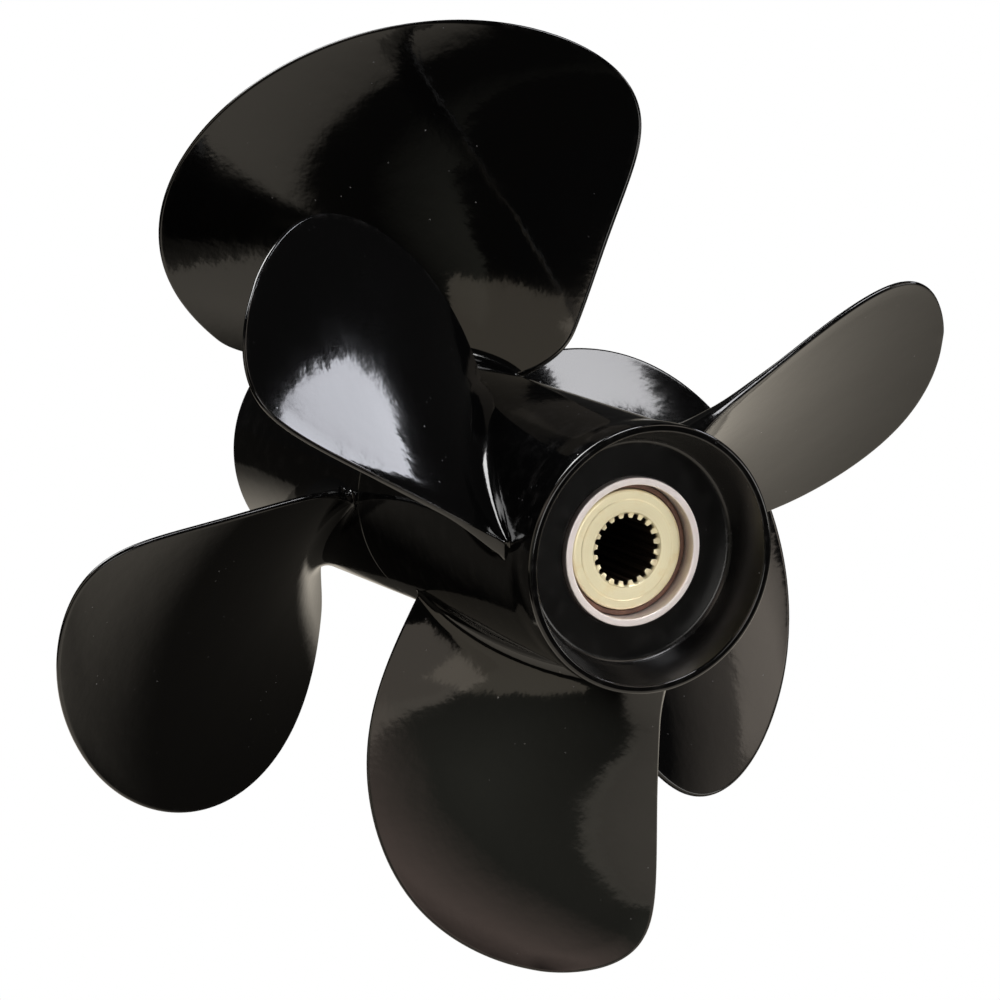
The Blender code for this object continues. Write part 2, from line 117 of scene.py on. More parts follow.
AFT_BLADE = {
    "hand": 1,
    "first_deg": 138.0,
    "root_r": 46.0,
    "tip_r": 177.5,
    "mid_y": -209.8,
    "helix": (80.0, 27.0, 7.5),
    "half_chord": (59.7, -10.0, 60.0, -67.5),
    "tip_power": 18.0,
    "root_taper": 0.0,
    "skew": (-0.272, 0.588, -0.223),
    "rake": (-26.6, 68.4, -56.7),
    "cup": (-16.3, 17.2),
    "root_t": 15.0,
    "tip_t": 3.2,
    "edge_t": 2.4,
    "hub": (AFT_BARREL_R, 0.0),
    "fillet": 9.0,
    "fillet_taper": 0.78,
    "root_edge": 1.9,
    "root_reach": 6.0,
    "curl": 0.50,
}
FWD_BLADE = {
    "hand": -1,
    "first_deg": 95.0,
    "root_r": 50.0,
    "tip_r": 194.0,
    "mid_y": -66.5,
    "helix": (90.0, 24.6, -19.8),
    "half_chord": (76.8, 76.3, -57.0, 63.5),
    "tip_power": 3.46,
    "root_taper": 17.5,
    "skew": (-0.392, 0.505, 0.043),
    "rake": (-58.7, 83.3, -54.3),
    "cup": (2.3, -4.9),
    "root_t": 17.0,
    "tip_t": 3.4,
    "edge_t": 2.6,
    "hub": (FWD_FRONT_R, (FWD_AFT_R - FWD_FRONT_R) / FWD_AFT_Y),
    "fillet": 9.0,
    "fillet_taper": 0.62,
    "root_edge": 0.6,
    "root_reach": 0.0,
    "curl": 0.0,
}
FILLET_ROWS = 12
BLADE_ROWS = 46
TIP_ROWS = 46
RIM_INSETS = (0.0, 0.05, 0.15, 0.30, 0.50, 0.75, 1.0, 1.25, 1.6, 2.3, 3.6, 5.6, 8.4)
FACE_COLUMNS = 34


# ---------------------------------------------------------------- mesh helpers
class Shell:
    """Vertices and faces of one piece, gathered from several closed surfaces."""

    def __init__(self):
        self.verts = []
        self.faces = []
        self.rim = []  # 1 on an edge or rim, falling to 0 a few millimetres away
        self.dull_and_shade = []  # 1 down in a recess or a bore: out of reach of polish, and painted shade on the bush metal
        self.count = 0

    def add(self, verts, faces, rim=None, dull_and_shade=None):
        verts = np.asarray(verts, float)
        signed = 0.0
        for face in faces:
            for k in range(1, len(face) - 1):
                a, b, c = verts[face[0]], verts[face[k]], verts[face[k + 1]]
                signed += (
                    a[0] * (b[1] * c[2] - b[2] * c[1])
                    + a[1] * (b[2] * c[0] - b[0] * c[2])
                    + a[2] * (b[0] * c[1] - b[1] * c[0])
                )
        turned_in = signed < 0
        base = self.count
        for face in faces:
            order = face[::-1] if turned_in else face
            self.faces.append(tuple(base + k for k in order))
        self.verts.append(verts)
        self.rim.append(np.zeros(len(verts)) if rim is None else np.asarray(rim, float))
        self.dull_and_shade.append(np.zeros(len(verts)) if dull_and_shade is None else np.asarray(dull_and_shade, float))
        self.count += len(verts)

    def build(self, name, materials, sharp_deg=34.0, slots=None):
        mesh = bpy.data.meshes.new(name)
        points = np.concatenate(self.verts) * MM
        mesh.from_pydata(points.tolist(), [], self.faces)
        mesh.validate()
        mesh.update()
        for label, values in (("rim", self.rim), ("dull_and_shade", self.dull_and_shade)):
            layer = mesh.attributes.new(label, "FLOAT", "POINT")
            layer.data.foreach_set("value", np.concatenate(values).astype(np.float32))
        for mat in materials:
            mesh.materials.append(mat)
        mesh.polygons.foreach_set("use_smooth", [True] * len(mesh.polygons))
        if slots is not None:
            mesh.polygons.foreach_set("material_index", slots)
        mesh.set_sharp_from_angle(angle=math.radians(sharp_deg))
        mesh.update()
        obj = bpy.data.objects.new(name, mesh)
        bpy.context.scene.collection.objects.link(obj)
        return obj


def rounded(corners, steps=6, support=0.35):
    """A closed section as (y, r, rim), from corners (y, r, radius). Each radius becomes an
    arc, with a guard point on the straight either side so that shading stays on the arc."""
    out = []
    count = len(corners)
    for i, (y, r, radius) in enumerate(corners):
        here = np.array((y, r), float)
        a = np.array(corners[i - 1][:2], float) - here
        b = np.array(corners[(i + 1) % count][:2], float) - here
        la, lb = np.linalg.norm(a), np.linalg.norm(b)
        a, b = a / la, b / lb
        half = math.acos(max(-1.0, min(1.0, float(a @ b)))) / 2
        if radius <= 0 or half > math.radians(88):
            out.append((y, r, 0.0))
            continue
        cut = min(radius / math.tan(half), 0.42 * la, 0.42 * lb)
        true = cut * math.tan(half)
        centre = here + (a + b) / np.linalg.norm(a + b) * true / math.sin(half)
        start, end = here + a * cut, here + b * cut
        u, v = (start - centre) / true, (end - centre) / true
        sweep = math.acos(max(-1.0, min(1.0, float(u @ v))))
        convex = 1.0
        out.append((*(start + a * min(support, 0.2 * la)), 0.3 * convex))
        for k in range(steps + 1):
            t = k / steps
            p = centre + true * (math.sin((1 - t) * sweep) * u + math.sin(t * sweep) * v) / math.sin(sweep)
            out.append((p[0], p[1], convex * (0.6 + 0.4 * math.sin(math.pi * t))))
        out.append((*(end + b * min(support, 0.2 * lb)), 0.3 * convex))
    return out


def lathe(section, steps, shape=None):
    """Turns a closed section of (y, r, rim) about Y. shape, if given, takes (index in the
    section, the turning angles) and returns the radii there, for splined bores."""
    angle = np.arange(steps) * TURN / steps
    rings, rims = [], []
    for i, (y, r, rim) in enumerate(section):
        radii = np.full(steps, float(r)) if shape is None else shape(i, y, r, angle)
        rings.append(np.stack((radii * np.cos(angle), np.full(steps, float(y)), radii * np.sin(angle)), 1))
        rims.append(np.full(steps, rim))
    count = len(section)
    faces = []
    for i in range(count):
        j = (i + 1) % count
        for k in range(steps):
            m = (k + 1) % steps
            faces.append((i * steps + k, j * steps + k, j * steps + m, i * steps + m))
    return np.concatenate(rings), faces, np.concatenate(rims)


# ---------------------------------------------------------------- blades
def law(coefficients, x):
    return sum(c * x**i for i, c in enumerate(coefficients))


def law1(coefficients, x):
    return sum(c * x ** (i + 1) for i, c in enumerate(coefficients))


def half_chord(spec, fraction):
    half = law(spec["half_chord"], fraction)
    half = half - spec["root_taper"] * np.maximum(0.0, 1.0 - fraction / 0.2) ** 2
    return half * np.sqrt(np.maximum(0.0, 1.0 - np.maximum(0.0, fraction) ** spec["tip_power"]))


def blade_skin(spec, fraction, s, thickness, side, body, bend=0.0):
    """Points of a blade as radius, turn and y. s is -1 at the leading edge and 1 at the
    trailing edge. side is -1 on the pressure face and 1 on the suction face, thickness is
    half the rim's here, and body is how much of the section's own fullness there is. bend
    carries both faces towards the pressure side."""
    r = spec["root_r"] + (spec["tip_r"] - spec["root_r"]) * fraction
    helix = law(spec["helix"], fraction)
    half = half_chord(spec, fraction)
    slant = np.hypot(r, helix)
    above_hub = spec["root_r"] + (spec["tip_r"] - spec["root_r"]) * fraction - spec["hub"][0]
    reach = spec["root_reach"] * np.clip(1.0 - above_hub / 26.0, 0.0, 1.0) ** 2 * np.clip((1 + s) / 2, 0.0, 1.0) ** 3
    turn = law1(spec["skew"], fraction) + (s * half + reach) / slant
    y = spec["mid_y"] - helix * turn + law1(spec["rake"], fraction)
    # the cup fades into the tip, so that both edges meet there without a step
    width = np.sqrt(np.maximum(0.0, 1.0 - np.maximum(0.0, fraction) ** spec["tip_power"]))
    kept = np.clip(width / 0.5, 0.0, 1.0)
    kept = kept**2 * (3.0 - 2.0 * kept)
    y = y + law1(spec["cup"], fraction) * (((1 + s) / 2) ** 2 * kept + 0.25 * (1.0 - kept))
    off = side * thickness - bend
    full = spec["tip_t"] + (spec["root_t"] - spec["tip_t"]) * (1 - np.clip(fraction, 0.0, 1.0)) ** 1.4
    off = off + np.where(side > 0, (full - spec["edge_t"]) * np.maximum(0.0, 1 - s * s) ** 0.85 * body, 0.0)
    turn = turn + helix / slant * off / r
    y = y + r / slant * off
    return r, turn, y


def to_xyz(spec, first, r, turn, y):
    a = first + spec["hand"] * turn
    return np.stack((r * np.cos(a), y, r * np.sin(a)), -1)


def edge_distance(points, lines):
    """The distance of each point to the nearest of several polylines."""
    best = np.full(len(points), 1e9)
    for line in lines:
        a, b = line[:-1], line[1:]
        ab = b - a
        span = np.maximum((ab * ab).sum(1), 1e-12)
        for start in range(0, len(points), 1500):
            p = points[start : start + 1500]
            ap = p[:, None, :] - a[None]
            t = np.clip((ap * ab[None]).sum(2) / span[None], 0.0, 1.0)
            d = np.sqrt((((ap - t[..., None] * ab[None]) ** 2).sum(2)).min(1))
            best[start : start + 1500] = np.minimum(best[start : start + 1500], d)
    return best


def blade(spec):
    """One blade at angle 0: closed rows of a section from just inside the hub, up a full
    root fillet that leaves the hub's surface tangentially, to a single point at the tip."""
    span = spec["tip_r"] - spec["root_r"]
    hub_mid = spec["hub"][0] + spec["hub"][1] * spec["mid_y"]
    root_f = (hub_mid + 4.0 - spec["root_r"]) / span

    def columns(half):
        x = np.array(RIM_INSETS) / max(half, 1e-6)
        inset = x / (1.0 + 1.08 * x)
        edge = 1.0 - inset[-1]
        inner = edge * np.sin(math.pi / 2 * np.linspace(-1, 1, FACE_COLUMNS + 2)[1:-1])
        s = np.concatenate((inset - 1.0, inner, (1.0 - inset)[::-1]))
        return np.concatenate((s, s[-2:0:-1])), np.concatenate((-np.ones(len(s)), np.ones(len(s) - 2)))

    def fillet(s):
        return spec["fillet"] * (1.0 - spec["fillet_taper"] * np.abs(s) ** 3)

    # rows towards the tip, evenly spaced along the blade's edges and then across its rim
    share = np.linspace(0.93, 0.22, 1200)
    heights = (1.0 - share**2) ** (1.0 / spec["tip_power"])
    steps = [
        np.linalg.norm(np.diff(to_xyz(spec, 0.0, *blade_skin(spec, heights, np.full(1200, end), 0.0, 0.0, 0.0)), axis=0), axis=1)
        for end in (-1.0, 1.0)
    ]
    travelled = np.concatenate(((0.0,), np.cumsum(np.maximum(*steps))))
    even = np.interp(np.linspace(0.0, travelled[-1], TIP_ROWS), travelled, share)
    tips_k = np.concatenate((even, np.array((0.18, 0.14, 0.11, 0.08, 0.055, 0.035, 0.018, 0.008))))
    tips = (1.0 - tips_k**2) ** (1.0 / spec["tip_power"])
    rows = []
    # below the surface, then the skirt, then the fillet, the blade and its tip
    rows.append(("skirt", -2.2, -3.0))
    rows.append(("skirt", -0.03, 1.2))
    for k in range(FILLET_ROWS + 1):
        rows.append(("fillet", math.pi / 2 * (k / FILLET_ROWS) ** 1.6, 0.0))
    for k in range(1, BLADE_ROWS):
        rows.append(("face", k / BLADE_ROWS, 0.0))
    for f in tips:
        rows.append(("tip", f, 0.0))

    # outwards directions along the hub, from the section near the root
    s0, side0 = columns(float(half_chord(spec, np.array(root_f))))
    edge_lines = []
    for s_edge in (-1.0, 1.0):
        f = np.concatenate((np.linspace(-0.14, 0.9, 500), 1.0 - (1 - 0.9) * np.linspace(1, 0, 400)[1:] ** 3))
        edge_lines.append(to_xyz(spec, 0.0, *blade_skin(spec, f, np.full(len(f), s_edge), 0.0, 0.0, 0.0)))
    f0 = np.full(len(s0), root_f)
    mid = to_xyz(spec, 0.0, *blade_skin(spec, f0, s0, 0.0, 0.0, 0.0))

    def rim_and_body(mid, f, s):
        """Half the rim's thickness, the section's fullness, the trailing edge's curl and
        the distance to the nearest edge."""
        away = edge_distance(mid, edge_lines)
        away[np.abs(s) >= 1.0] = 0.0
        trailing = edge_distance(mid, edge_lines[1:])
        near_root = np.clip(1.0 - (f - root_f) / 0.17, 0.0, 1.0) ** 2
        half_rim = spec["edge_t"] / 2 * (1.0 + spec["root_edge"] * near_root * np.clip((1 + s) / 2, 0.0, 1.0) ** 4)
        bite = np.clip(1.0 - away / half_rim, 0.0, 1.0)
        # the trailing edge is cut square near the root and rounded further out
        square = 2.0 + 5.0 * np.clip(1.0 - (f - root_f) / 0.40, 0.0, 1.0) * (s > 0.3)
        x = np.clip(away / 5.0, 0.0, 1.0)
        bend = spec["curl"] * np.clip(1.0 - trailing / 9.0, 0.0, 1.0) ** 2
        return half_rim * np.maximum(0.0, 1.0 - bite**square) ** (1.0 / square), x * x * (3 - 2 * x), bend, away

    thick, body, bend, away = rim_and_body(mid, f0, s0)
    r, turn, y = blade_skin(spec, f0, s0, thick, side0, body, bend)
    flat = np.stack((turn * r, y), 1)
    ahead, behind = np.roll(flat, -1, 0), np.roll(flat, 1, 0)
    along = ahead - behind
    along /= np.linalg.norm(along, axis=1)[:, None]
    out_dir = np.stack((along[:, 1], -along[:, 0]), 1)

    verts, rings, rims = [], [], []
    for kind, value, extra in rows:
        if kind == "tip" or kind == "face":
            nominal = value if kind == "tip" else None
        if kind == "tip":
            s, side = columns(float(half_chord(spec, np.array(nominal))))
            f = np.full(len(s), nominal)
            out = np.zeros(len(s))
            height = spec["root_r"] + span * f - hub_mid
        elif kind == "face":
            low_mid = (hub_mid + spec["fillet"] - spec["root_r"]) / span
            s, side = columns(float(half_chord(spec, np.array(low_mid + (tips[0] - low_mid) * value))))
            low = (hub_mid + fillet(s) - spec["root_r"]) / span
            f = low + (tips[0] - low) * value
            out = np.zeros(len(s))
            height = spec["root_r"] + span * f - hub_mid
        else:
            s, side = s0, side0
            rho = fillet(s)
            if kind == "fillet":
                height = rho * (1 - math.cos(value))
                out = rho * (1 - math.sin(value))
            else:
                height = np.full(len(s), value)
                out = rho + extra if extra > 0 else rho * 0.4
            f = (hub_mid + height - spec["root_r"]) / span
        mid = to_xyz(spec, 0.0, *blade_skin(spec, f, s, 0.0, 0.0, 0.0))
        thick, body, bend, away = rim_and_body(mid, f, s)
        r, turn, y = blade_skin(spec, f, s, thick, side, body, bend)
        if out.any():
            turn = turn + out_dir[:, 0] * out / r
            y = y + out_dir[:, 1] * out
        share = np.clip(1.0 - np.maximum(0.0, height) / 30.0, 0.0, 1.0)
        r = r + spec["hub"][1] * (y - spec["mid_y"]) * share
        rings.append(list(range(sum(len(v) for v in verts), sum(len(v) for v in verts) + len(s))))
        verts.append(np.stack((r, turn, y), 1))
        rims.append(np.clip(1.0 - away / 3.0, 0.0, 1.0))
    tip = sum(len(v) for v in verts)
    r, turn, y = blade_skin(spec, np.array([1.0]), np.array([0.0]), 0.0, 0.0, 0.0)
    verts.append(np.stack((r, turn, y), 1))
    rims.append(np.ones(1))
    faces = []
    n = len(rings[0])
    for a, b in zip(rings, rings[1:]):
        faces += [(a[k], a[(k + 1) % n], b[(k + 1) % n], b[k]) for k in range(n)]
    top, low = rings[-1], rings[0]
    faces += [(top[k], top[(k + 1) % n], tip) for k in range(n)]
    half_n = n // 2
    faces.append((low[0], low[1], low[n - 1]))
    faces += [(low[k], low[k + 1], low[n - k - 1], low[n - k]) for k in range(1, half_n - 1)]
    faces.append((low[half_n - 1], low[half_n], low[half_n + 1]))
    return np.concatenate(verts), faces, np.concatenate(rims)


def add_blades(shell, spec):
    polar, faces, rims = blade(spec)
    for index in range(3):
        first = math.radians(spec["first_deg"] - spec["hand"] * 120.0 * index)
        shell.add(to_xyz(spec, first, polar[:, 0], polar[:, 1], polar[:, 2]), faces, rims)


def add_ribs(shell, r_in, r_out, y_front, y_aft, first_deg):
    """Three ribs between the boss and the barrel, flared at both ends as cast, with
    rounded front and aft edges."""
    flare, edge = 3.4, 2.2
    outline = []
    for k in range(9):
        a = math.pi / 2 * k / 8
        outline.append((r_in + flare * (1 - math.cos(a)), RIB_T / 2 + flare * (1 - math.sin(a))))
    mirrored = [(r_in + r_out - r, w) for r, w in reversed(outline)]
    upper = outline + mirrored
    ring = upper + [(r, -w) for r, w in reversed(upper)]
    n = len(ring)
    stations = [(y_front, -edge)]
    for k in range(1, 6):
        a = math.pi / 2 * k / 5
        stations.append((y_front - edge * (1 - math.cos(a)), -edge * (1 - math.sin(a))))
    stations += [(y_front - edge - 0.4, 0.0), (y_aft + edge + 0.4, 0.0)]
    for k in range(5):
        a = math.pi / 2 * (5 - k) / 5
        stations.append((y_aft + edge * (1 - math.cos(a)), -edge * (1 - math.sin(a))))
    stations.append((y_aft, -edge))
    for i in range(3):
        middle = math.radians(first_deg + 120.0 * i)
        verts = []
        for y, inset in stations:
            for r, w in ring:
                a = middle + math.copysign(max(0.2, abs(w) + inset), w) / r
                verts.append((r * math.cos(a), y, r * math.sin(a)))
        faces = [tuple(range(n)), tuple(range((len(stations) - 1) * n, len(stations) * n))[::-1]]
        for row in range(len(stations) - 1):
            for k in range(n):
                m = (k + 1) % n
                faces.append((row * n + k, (row + 1) * n + k, (row + 1) * n + m, row * n + m))
        shell.add(verts, faces)


# ---------------------------------------------------------------- materials
def new_tree(name):
    mat = bpy.data.materials.new(name)
    mat.use_nodes = True
    tree = mat.node_tree
    tree.nodes.clear()
    out = tree.nodes.new("ShaderNodeOutputMaterial")
    bsdf = tree.nodes.new("ShaderNodeBsdfPrincipled")
    tree.links.new(bsdf.outputs[0], out.inputs[0])
    return mat, tree, bsdf


def node(tree, kind, **values):
    made = tree.nodes.new(kind)
    for key, value in values.items():
        if hasattr(made, key):
            setattr(made, key, value)
        else:
            made.inputs[key].default_value = value
    return made


def noise(tree, coords, scale, detail=2.0, rough=0.5, w=0.0):
    n = tree.nodes.new("ShaderNodeTexNoise")
    n.noise_dimensions = "4D"
    n.inputs["W"].default_value = w
    n.inputs["Scale"].default_value = scale
    n.inputs["Detail"].default_value = detail
    n.inputs["Roughness"].default_value = rough
    tree.links.new(coords, n.inputs["Vector"])
    return n.outputs["Fac"]


def ramp(tree, value, low, high, to_low=0.0, to_high=1.0):
    r = tree.nodes.new("ShaderNodeMapRange")
    r.interpolation_type = "SMOOTHSTEP"
    r.inputs["From Min"].default_value = low
    r.inputs["From Max"].default_value = high
    r.inputs["To Min"].default_value = to_low
    r.inputs["To Max"].default_value = to_high
    tree.links.new(value, r.inputs["Value"])
    return r.outputs["Result"]


def maths(tree, operation, a, b=None):
    m = tree.nodes.new("ShaderNodeMath")
    m.operation = operation
    for k, value in enumerate((a, b)):
        if value is None:
            continue
        if isinstance(value, (int, float)):
            m.inputs[k].default_value = value
        else:
            tree.links.new(value, m.inputs[k])
    return m.outputs[0]


def mix_colour(tree, fac, a, b):
    m = tree.nodes.new("ShaderNodeMix")
    m.data_type = "RGBA"
    for socket, value in ((m.inputs[0], fac), (m.inputs[6], a), (m.inputs[7], b)):
        if isinstance(value, (int, float)):
            socket.default_value = value
        elif isinstance(value, tuple):
            socket.default_value = (*value, 1.0)
        else:
            tree.links.new(value, socket)
    return m.outputs[2]


def bump(tree, height, distance, strength=1.0, normal=None):
    b = tree.nodes.new("ShaderNodeBump")
    b.inputs["Strength"].default_value = strength
    b.inputs["Distance"].default_value = distance
    tree.links.new(height, b.inputs["Height"])
    if normal is not None:
        tree.links.new(normal, b.inputs["Normal"])
    return b.outputs["Normal"]


def paint(name, seed):
    """Gloss black paint on a cast blade: long casting waves, fine orange peel, faint
    wiping haze, dust specks, and a thinner coat along the rims."""
    mat, tree, bsdf = new_tree(name)
    coords = tree.nodes.new("ShaderNodeTexCoord").outputs["Object"]
    waves = noise(tree, coords, 30.0, 1.0, 0.4, seed)
    ripple = noise(tree, coords, 150.0, 2.0, 0.5, seed + 3.0)
    peel = noise(tree, coords, 700.0, 1.0, 0.5, seed + 4.0)
    haze = noise(tree, coords, 22.0, 4.0, 0.6, seed + 7.0)
    speck = tree.nodes.new("ShaderNodeTexVoronoi")
    speck.feature = "F1"
    speck.inputs["Scale"].default_value = 330.0
    tree.links.new(coords, speck.inputs["Vector"])
    dust_patch = ramp(tree, noise(tree, coords, 26.0, 3.0, 0.6, seed + 11.0), 0.50, 0.70)
    dot = ramp(tree, speck.outputs["Distance"], 0.02, 0.16, 1.0, 0.0)
    pick = tree.nodes.new("ShaderNodeSeparateColor")
    tree.links.new(speck.outputs["Color"], pick.inputs[0])
    chosen = ramp(tree, pick.outputs[0], 0.80, 0.82)
    dust = maths(tree, "MULTIPLY", maths(tree, "MULTIPLY", dot, chosen), dust_patch)
    rim = tree.nodes.new("ShaderNodeAttribute")
    rim.attribute_name = "rim"
    worn = maths(tree, "MULTIPLY", rim.outputs["Fac"], ramp(tree, noise(tree, coords, 160.0, 3.0, 0.6, seed + 5.0), 0.45, 0.75))
    base = mix_colour(tree, maths(tree, "MULTIPLY", worn, 0.35), (0.0011, 0.0011, 0.0012), (0.022, 0.021, 0.021))
    base = mix_colour(tree, maths(tree, "MULTIPLY", dust, 0.7), base, (0.30, 0.30, 0.32))
    tree.links.new(base, bsdf.inputs["Base Color"])
    rough = maths(tree, "ADD", ramp(tree, haze, 0.3, 0.75, 0.055, 0.115), maths(tree, "MULTIPLY", worn, 0.10))
    rough = maths(tree, "ADD", rough, maths(tree, "MULTIPLY", dust, 0.5))
    dull_and_shade = tree.nodes.new("ShaderNodeAttribute")
    dull_and_shade.attribute_name = "dull_and_shade"
    rough = maths(tree, "ADD", rough, maths(tree, "MULTIPLY", dull_and_shade.outputs["Fac"], 0.15))
    tree.links.new(rough, bsdf.inputs["Roughness"])
    bsdf.inputs["IOR"].default_value = 1.5
    surface = bump(tree, waves, 0.00030)
    surface = bump(tree, ripple, 0.000060, normal=surface)
    surface = bump(tree, peel, 0.000006, normal=surface)
    surface = bump(tree, dust, 0.00005, normal=surface)
    tree.links.new(surface, bsdf.inputs["Normal"])
    return mat


def rings_about_axis(tree, coords, scale):
    """Turning marks: bands that depend on the distance to the shafts' axis and on y."""
    split = tree.nodes.new("ShaderNodeSeparateXYZ")
    tree.links.new(coords, split.inputs[0])
    flat = tree.nodes.new("ShaderNodeCombineXYZ")
    tree.links.new(split.outputs[0], flat.inputs[0])
    tree.links.new(split.outputs[2], flat.inputs[2])
    length = tree.nodes.new("ShaderNodeVectorMath")
    length.operation = "LENGTH"
    tree.links.new(flat.outputs[0], length.inputs[0])
    both = tree.nodes.new("ShaderNodeCombineXYZ")
    tree.links.new(length.outputs["Value"], both.inputs[0])
    tree.links.new(split.outputs[1], both.inputs[1])
    return noise(tree, both.outputs[0], scale, 3.0, 0.7, 1.3), length.outputs["Value"], split.outputs[1]


def machined(name, colour, colour_dark, rough, seed, stain=0.4):
    mat, tree, bsdf = new_tree(name)
    coords = tree.nodes.new("ShaderNodeTexCoord").outputs["Object"]
    marks, radius, along = rings_about_axis(tree, coords, 2600.0)
    patch = noise(tree, coords, 90.0, 4.0, 0.65, seed)
    fine = noise(tree, coords, 900.0, 3.0, 0.6, seed + 2.0)
    tone = maths(tree, "ADD", maths(tree, "MULTIPLY", ramp(tree, patch, 0.50, 0.78), stain), maths(tree, "MULTIPLY", ramp(tree, marks, 0.45, 0.7), 0.16))
    dull_and_shade = tree.nodes.new("ShaderNodeAttribute")
    dull_and_shade.attribute_name = "dull_and_shade"
    turned = mix_colour(tree, tone, colour, colour_dark)
    # down in a bore the metal's colour is drawn towards a dark brown: painted shade, where little light reaches
    tree.links.new(mix_colour(tree, dull_and_shade.outputs["Fac"], turned, (0.060, 0.045, 0.035)), bsdf.inputs["Base Color"])
    bsdf.inputs["Metallic"].default_value = 0.72
    tree.links.new(maths(tree, "ADD", ramp(tree, fine, 0.3, 0.7, rough - 0.04, rough + 0.06), maths(tree, "MULTIPLY", ramp(tree, patch, 0.4, 0.8), 0.06)), bsdf.inputs["Roughness"])
    first = bump(tree, marks, 0.00001, 0.6)
    tree.links.new(bump(tree, fine, 0.000003, 0.5, first), bsdf.inputs["Normal"])
    return mat


def rubber(name, seed):
    mat, tree, bsdf = new_tree(name)
    coords = tree.nodes.new("ShaderNodeTexCoord").outputs["Object"]
    patch = noise(tree, coords, 140.0, 4.0, 0.6, seed)
    grain = noise(tree, coords, 1800.0, 3.0, 0.6, seed + 2.0)
    tree.links.new(mix_colour(tree, ramp(tree, patch, 0.35, 0.7), (0.115, 0.052, 0.034), (0.055, 0.026, 0.018)), bsdf.inputs["Base Color"])
    tree.links.new(ramp(tree, grain, 0.3, 0.7, 0.48, 0.66), bsdf.inputs["Roughness"])
    tree.links.new(bump(tree, grain, 0.00006, 0.8), bsdf.inputs["Normal"])
    return mat


# ---------------------------------------------------------------- castings
def forward_casting(material):
    shell = Shell()
    shell.add(
        *lathe(
            rounded(
                [
                    (FWD_FRONT_Y, FWD_FRONT_R, 1.4),
                    (FWD_AFT_Y, FWD_AFT_R, 0.5),
                    (FWD_AFT_Y, FWD_COUNTERBORE_R, 0.5),
                    (FWD_AFT_Y + FWD_COUNTERBORE_DEPTH, FWD_COUNTERBORE_R, 0.8),
                    (FWD_AFT_Y + FWD_COUNTERBORE_DEPTH + 4, FWD_PASSAGE_R, 2.0),
                    (FWD_FRONT_Y - 8.0, FWD_PASSAGE_R, 8.0),
                    (FWD_FRONT_Y, FWD_PASSAGE_R - 1.5, 1.0),
                ]
            ),
            HUB_STEPS,
        )
    )
    shell.add(
        *lathe(
            rounded(
                [
                    (FWD_FRONT_Y - FWD_BOSS_SETBACK, FWD_BORE_R, 0.5),
                    (FWD_FRONT_Y - FWD_BOSS_SETBACK, FWD_BOSS_R, 1.2),
                    (FWD_AFT_Y + FWD_COUNTERBORE_DEPTH + 4, FWD_BOSS_R, 1.2),
                    (FWD_AFT_Y + FWD_COUNTERBORE_DEPTH + 4, FWD_BORE_R, 0.5),
                ]
            ),
            HUB_STEPS,
        )
    )
    add_ribs(shell, FWD_BOSS_R - 0.15, FWD_PASSAGE_R + 0.15, FWD_FRONT_Y - 12.0, FWD_AFT_Y + FWD_COUNTERBORE_DEPTH + 9, FWD_BLADE["first_deg"])
    add_blades(shell, FWD_BLADE)
    return shell.build("forward_casting", [material])


def aft_casting(material):
    shell = Shell()
    verts, faces, rims = lathe(
        rounded(
            [
                (AFT_NOSE_Y, AFT_NOSE_R, 1.4),
                (AFT_SHOULDER_Y, AFT_NOSE_R, 0.7),
                (AFT_SHOULDER_Y, AFT_BARREL_R, 0.6),
                (AFT_LIP_Y + 20.0, AFT_BARREL_R, 60.0),
                (AFT_LIP_Y + 8.0, AFT_LIP_R, 60.0),
                (AFT_LIP_Y, AFT_LIP_R, AFT_LIP_ROUND),
                (AFT_LIP_Y, AFT_LIP_INNER_R, 0.9),
                (AFT_FLOOR_Y, AFT_RECESS_R, 2.4),
                (AFT_FLOOR_Y, AFT_BORE_R, 0.4),
                (AFT_NOSE_Y - 4.0, AFT_BORE_R, 0.5),
                (AFT_NOSE_Y - 4.0, AFT_BOSS_R, 1.2),
                (AFT_POCKET_END_Y, AFT_BOSS_R, 4.0),
                (AFT_POCKET_END_Y, AFT_POCKET_R, 4.0),
                (AFT_SHOULDER_Y - 10.0, AFT_POCKET_R, 6.0),
                (AFT_SHOULDER_Y - 3.0, AFT_NOSE_R - 4.6, 4.0),
                (AFT_NOSE_Y, AFT_NOSE_R - 4.6, 0.8),
            ]
        ),
        HUB_STEPS,
    )
    radius = np.hypot(verts[:, 0], verts[:, 2])
    inside = (radius < AFT_LIP_INNER_R - 0.2) & (verts[:, 1] < AFT_FLOOR_Y + 1.0)
    shell.add(verts, faces, rims, inside * 1.0)
    add_ribs(shell, AFT_BOSS_R - 0.15, AFT_POCKET_R + 0.15, AFT_SHOULDER_Y - 14.0, AFT_POCKET_END_Y - 1.0, AFT_BLADE["first_deg"])
    add_blades(shell, AFT_BLADE)
    return shell.build("aft_casting", [material])


# ---------------------------------------------------------------- bush pieces
def spline_radius(major, depth, teeth, angle):
    """The bore's radius by angle: flat-bottomed notches with sloping, slightly curved flanks."""
    phase = np.abs(((angle * teeth / TURN + 0.5) % 1.0) - 0.5) * 2.0
    x = np.clip((phase - 0.34) / 0.32, 0.0, 1.0)
    return major - depth * x * x * (3 - 2 * x)


